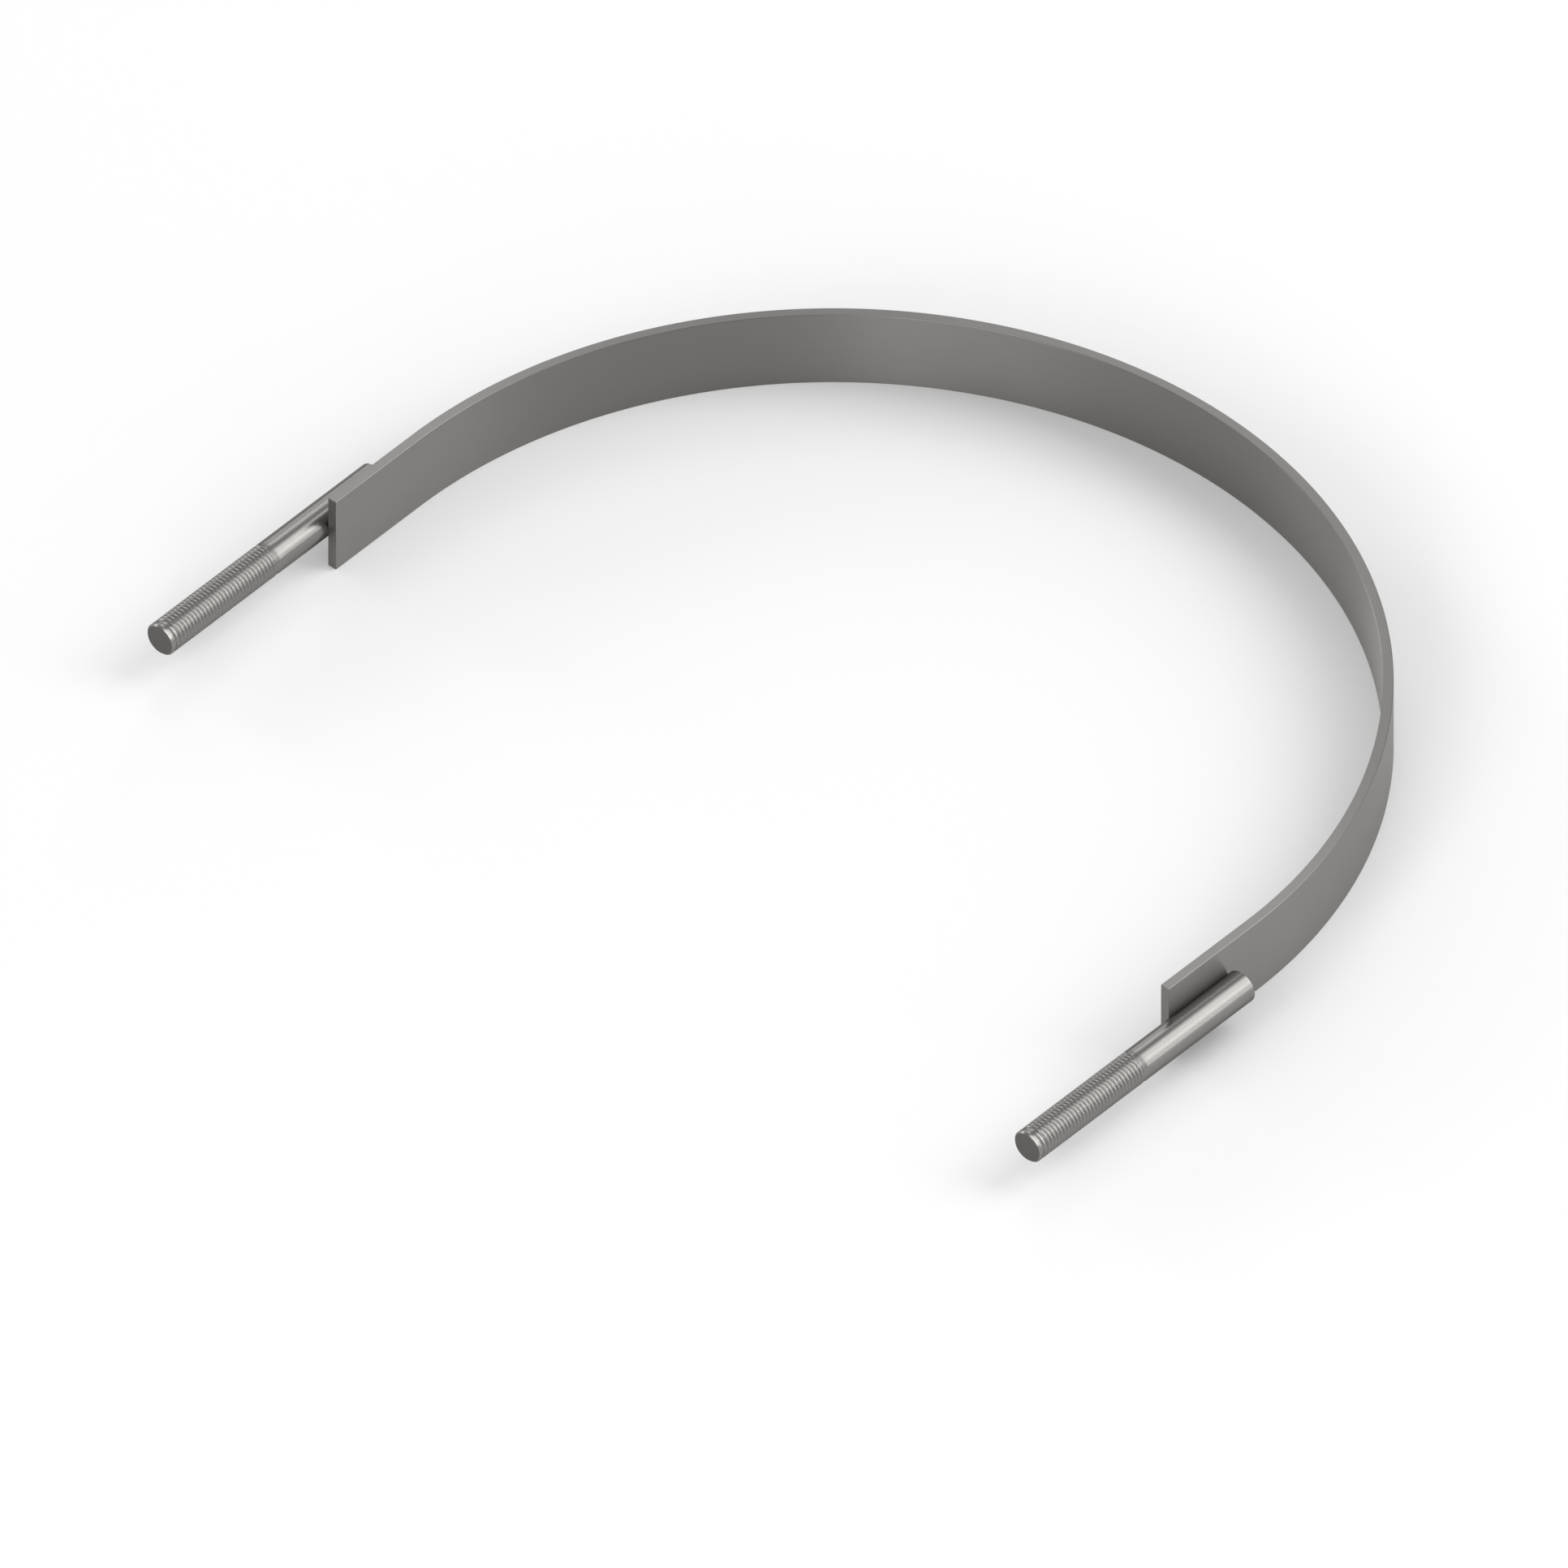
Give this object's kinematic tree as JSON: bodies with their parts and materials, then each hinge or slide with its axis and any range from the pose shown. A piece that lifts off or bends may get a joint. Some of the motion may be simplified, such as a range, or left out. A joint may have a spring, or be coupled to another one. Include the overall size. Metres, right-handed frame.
{
  "type": "muffler clamp",
  "caption": "U-shaped flat steel strap that goes round a muffler, with a part-threaded steel stud welded along the outer face of each straight leg.",
  "frame": {"origin": "centre of the bend, on the muffler's axis, at half the strap's width", "axes": "+Z along the muffler's axis, up as the clamp lies on the strap's lower edge; -Y the way the legs and the stud tips point; +X towards stud_right"},
  "size_m": [0.3308, 0.2561, 0.025],
  "materials": {
    "strap_steel": "mill-finish stainless flat bar, satin, neutral grey",
    "stud_steel": "bright drawn stainless round bar, smooth, with a rolled thread"
  },
  "bodies": {
    "root": {"strap": "strap_steel", "stud_left": "stud_steel", "stud_right": "stud_steel"}
  },
  "joints": []
}
